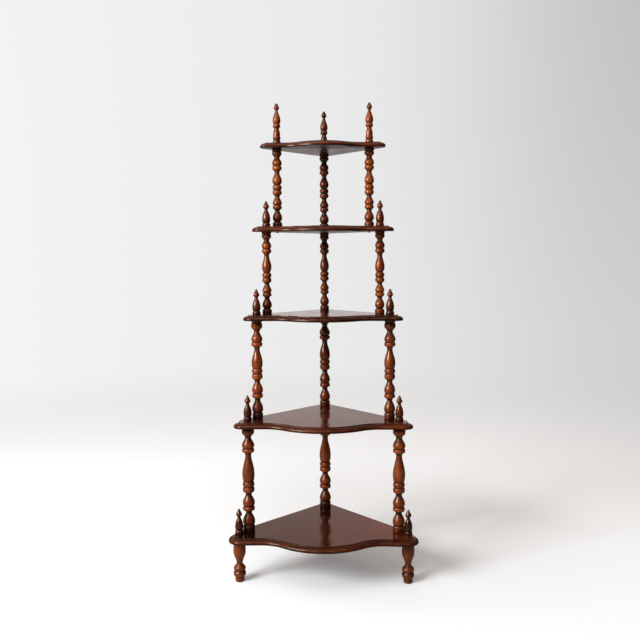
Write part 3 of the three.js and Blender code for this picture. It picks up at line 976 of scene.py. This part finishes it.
def add_varnish(tree, shader, look, place, soiled_and_shaded):
    """The varnish. It is smeared, rougher in the grooves, and dull where its gloss has gone."""
    least = look["roughness"]
    smears = noise(tree, place, EVEN, *SMEARS)
    rough = ranged(tree, smears, *SMEARS_TO_ROUGHNESS, least, least + SMEAR_ROUGHNESS)
    rough = plus_share(tree, rough, soiled_and_shaded, SUNK_ROUGHNESS)
    shader.inputs["Coat Weight"].default_value = look["coat"]
    shader.inputs["Coat Roughness"].default_value = COAT_ROUGHNESS
    shader.inputs["Specular IOR Level"].default_value = look["specular"]
    shader.inputs["Specular Tint"].default_value = VARNISH_TINT
    if look["dulls"]:
        dull = attribute(tree, "dull")
        rough = plus_share(tree, rough, dull, DULL_ROUGHNESS)
        tree.links.new(ranged(tree, dull, 0, 1, look["coat"], 0), shader.inputs["Coat Weight"])
    tree.links.new(rough, shader.inputs["Roughness"])


def stained_wood(name):
    """Stained and varnished hardwood. The grain runs along one axis, the stain gathers in the grooves and
    has worn thin on the crests and edges. On the shelves' mouldings the groove and crest colours also paint
    shade and highlight lines."""
    look = WOODS[name]
    material, tree, shader = new_material(name)
    place = node_of(tree, "ShaderNodeTexCoord").outputs["Object"]
    relief = attribute(tree, "relief")
    fine = noise(tree, place, drawn_out(look["along"], GRAIN_STRETCH), *FINE_GRAIN)
    pores = noise(tree, place, drawn_out(look["along"], PORE_STRETCH), *PORES)

    # On the shelves' mouldings the groove colour here is painted shade and the crest colour below painted
    # highlight.
    soiled_and_shaded = eased(tree, relief, *RELIEF_TO_SUNK, look["soil_and_shade"], 0)
    colour = mixed(tree, soiled_and_shaded, stain_colour(tree, look, place, fine, pores), look["groove_and_shade"])
    worn_and_highlit = eased(tree, relief, *RELIEF_TO_RAISED)
    patches = ranged(tree, noise(tree, place, EVEN, *WORN_PATCHES), *PATCHES_TO_WEAR)
    colour = mixed(tree, maths(tree, "MULTIPLY", worn_and_highlit, patches), colour, look["wear_and_highlight"])
    tree.links.new(colour, shader.inputs["Base Color"])

    add_varnish(tree, shader, look, place, soiled_and_shaded)
    surface = plus_share(tree, maths(tree, "MULTIPLY", fine, GRAIN_BUMP_SHARE), pores, PORE_BUMP_SHARE)
    add_bump(tree, shader, surface, look["bump"], WOOD_BUMP_HEIGHT)
    return material


def add_bump(tree, shader, height, strength, distance):
    bump = node_of(tree, "ShaderNodeBump", {"Height": height, "Strength": strength, "Distance": distance})
    tree.links.new(bump.outputs[0], shader.inputs["Normal"])


def aged_steel():
    """Dull screws with a brown bloom."""
    material, tree, shader = new_material("aged_steel")
    place = node_of(tree, "ShaderNodeTexCoord").outputs["Object"]
    spots = noise(tree, place, EVEN, *RUST_SPOTS)
    colour = mixed(tree, ranged(tree, spots, *SPOTS_TO_RUST), STEEL, RUST)
    tree.links.new(colour, shader.inputs["Base Color"])
    tree.links.new(ranged(tree, spots, *SPOTS_TO_ROUGHNESS), shader.inputs["Roughness"])
    shader.inputs["Metallic"].default_value = 1
    add_bump(tree, shader, noise(tree, place, BRUSHED, *BRUSHING), STEEL_BUMP, STEEL_BUMP_HEIGHT)
    return material


# Camera, floor and light.

def make_camera():
    data = bpy.data.cameras.new("camera")
    data.lens = CAMERA_LENS
    data.sensor_width = CAMERA_SENSOR
    data.clip_end = CAMERA_REACH
    camera = linked("camera", data)
    turn = Matrix.Rotation(CAMERA_YAW, 4, "Z")
    turn = turn @ Matrix.Rotation(math.pi / 2 - CAMERA_PITCH_DOWN, 4, "X")
    turn = turn @ Matrix.Rotation(CAMERA_ROLL, 4, "Z")
    camera.matrix_world = Matrix.Translation(CAMERA_PLACE) @ turn
    bpy.context.scene.camera = camera


def make_floor():
    """A pale floor that fades into the pale world around it, so that no horizon shows."""
    mesh = bpy.data.meshes.new("floor")
    shape = bmesh.new()
    bmesh.ops.create_circle(shape, cap_ends=True, segments=FLOOR_SIDES, radius=FLOOR_RADIUS)
    shape.to_mesh(mesh)
    shape.free()
    floor = linked("floor", mesh)
    material, tree, shader = new_material("pale_floor")
    shader.inputs["Roughness"].default_value = FLOOR_ROUGHNESS
    shader.inputs["Specular IOR Level"].default_value = FLOOR_SPECULAR
    place = node_of(tree, "ShaderNodeTexCoord").outputs["Object"]
    distance = node_of(tree, "ShaderNodeVectorMath", {0: place}, operation="LENGTH").outputs["Value"]
    seen = node_of(tree, "ShaderNodeLightPath").outputs["Is Camera Ray"]
    tree.links.new(mixed(tree, seen, FLOOR_BOUNCE, FLOOR_COLOUR), shader.inputs["Base Color"])
    shader.inputs["Emission Color"].default_value = FLOOR_COLOUR
    # The camera's glow is weakest near the middle: painted shade on the floor round the object.
    glow = maths(tree, "MULTIPLY", seen, eased(tree, distance, *DISTANCE_TO_GLOW))
    tree.links.new(glow, shader.inputs["Emission Strength"])
    clear = node_of(tree, "ShaderNodeBsdfTransparent").outputs[0]
    fade = eased(tree, distance, *DISTANCE_TO_FADE)
    blend = node_of(tree, "ShaderNodeMixShader", {0: fade, 1: shader.outputs[0], 2: clear})
    tree.links.new(blend.outputs[0], tree.nodes["Material Output"].inputs["Surface"])
    floor.data.materials.append(material)


def room_light(tree, x, z):
    """The light from the left and from above."""
    sideways = eased(tree, x, *LEFT_LIGHT)
    above = eased(tree, z, *UPPER_LIGHT)
    return mixed(tree, 1.0, maths(tree, "ADD", sideways, above), ROOM_TINT, "MULTIPLY")


def wall_light(tree, x, y, z):
    """The light from the wall behind, which the shelves' tops reflect. It is redder further up."""
    wall = eased(tree, y, *WALL_LIGHT)
    wall = maths(tree, "MULTIPLY", wall, eased(tree, z, *WALL_HEIGHT_LOSS))
    aside = maths(tree, "ABSOLUTE", x)
    wall = maths(tree, "MULTIPLY", wall, eased(tree, aside, *WALL_SIDE_LOSS))
    tint = mixed(tree, eased(tree, z, *WALL_HEIGHT_TO_TINT), WALL_TINT, HIGH_WALL_TINT)
    return mixed(tree, 1.0, wall, tint, "MULTIPLY")


def seen_brightness(tree, x, z):
    """What the camera sees behind the object: pale, and darker towards the upper right corner."""
    seen = ranged(tree, x, *SEEN_LEFT)
    seen = maths(tree, "SUBTRACT", seen, eased(tree, x, *SEEN_RIGHT_LOSS))
    corner = maths(tree, "MULTIPLY", eased(tree, x, *CORNER_LOSS), ranged(tree, z, *CORNER_HEIGHT))
    return maths(tree, "SUBTRACT", seen, corner)


def make_world():
    """Soft light by direction on the object, and a pale background for the camera."""
    world = bpy.data.worlds.new("studio")
    bpy.context.scene.world = world
    world.use_nodes = True
    tree = world.node_tree
    direction = node_of(tree, "ShaderNodeTexCoord").outputs["Generated"]
    x, y, z = node_of(tree, "ShaderNodeSeparateXYZ", {0: direction}).outputs
    light = mixed(tree, 1.0, room_light(tree, x, z), wall_light(tree, x, y, z), "ADD")
    camera_ray = node_of(tree, "ShaderNodeLightPath").outputs["Is Camera Ray"]
    level = mixed(tree, camera_ray, light, seen_brightness(tree, x, z))
    background = tree.nodes["Background"]
    tree.links.new(level, background.inputs["Color"])
    background.inputs["Strength"].default_value = 1


def area_light(name, place, target, width, height, power, colour):
    data = bpy.data.lights.new(name, "AREA")
    data.shape = "RECTANGLE"
    data.size = width
    data.size_y = height
    data.energy = power
    data.color = colour
    light = linked(name, data)
    light.location = place
    aim = Vector(target) - Vector(place)
    light.rotation_euler = aim.to_track_quat("-Z", "Y").to_euler()


make_camera()
make_world()
make_floor()
for lamp in LAMPS:
    area_light(*lamp)

turned_wood = stained_wood("turned_wood")
shelf_wood = stained_wood("shelf_wood")
steel = aged_steel()

for level in range(len(SHELVES)):
    shelf(level, shelf_wood)
    for post in POSTS:
        dowel_screw(f"dowel_screw_{level + 1}_{post}", steel)

for post in POSTS:
    leg(f"leg_{post}", turned_wood)
    finial(f"top_finial_{post}", "top_finial", TOP_FINIAL_DIAMETER, turned_wood)

for tier in range(len(TIERS)):
    number = tier + 1
    for post in POSTS:
        foot_bore = DOWEL_BORE if post == "back" else SCREW_BORE
        spindle(f"spindle_{number}_{post}", tier, foot_bore, turned_wood)
    for post in SIDE_POSTS:
        finial(f"finial_{number}_{post}", "small_finial", SMALL_FINIAL_DIAMETER, turned_wood)
        wood_screw(f"wood_screw_{number}_{post}", steel)

bpy.context.scene.view_settings.view_transform = "Standard"
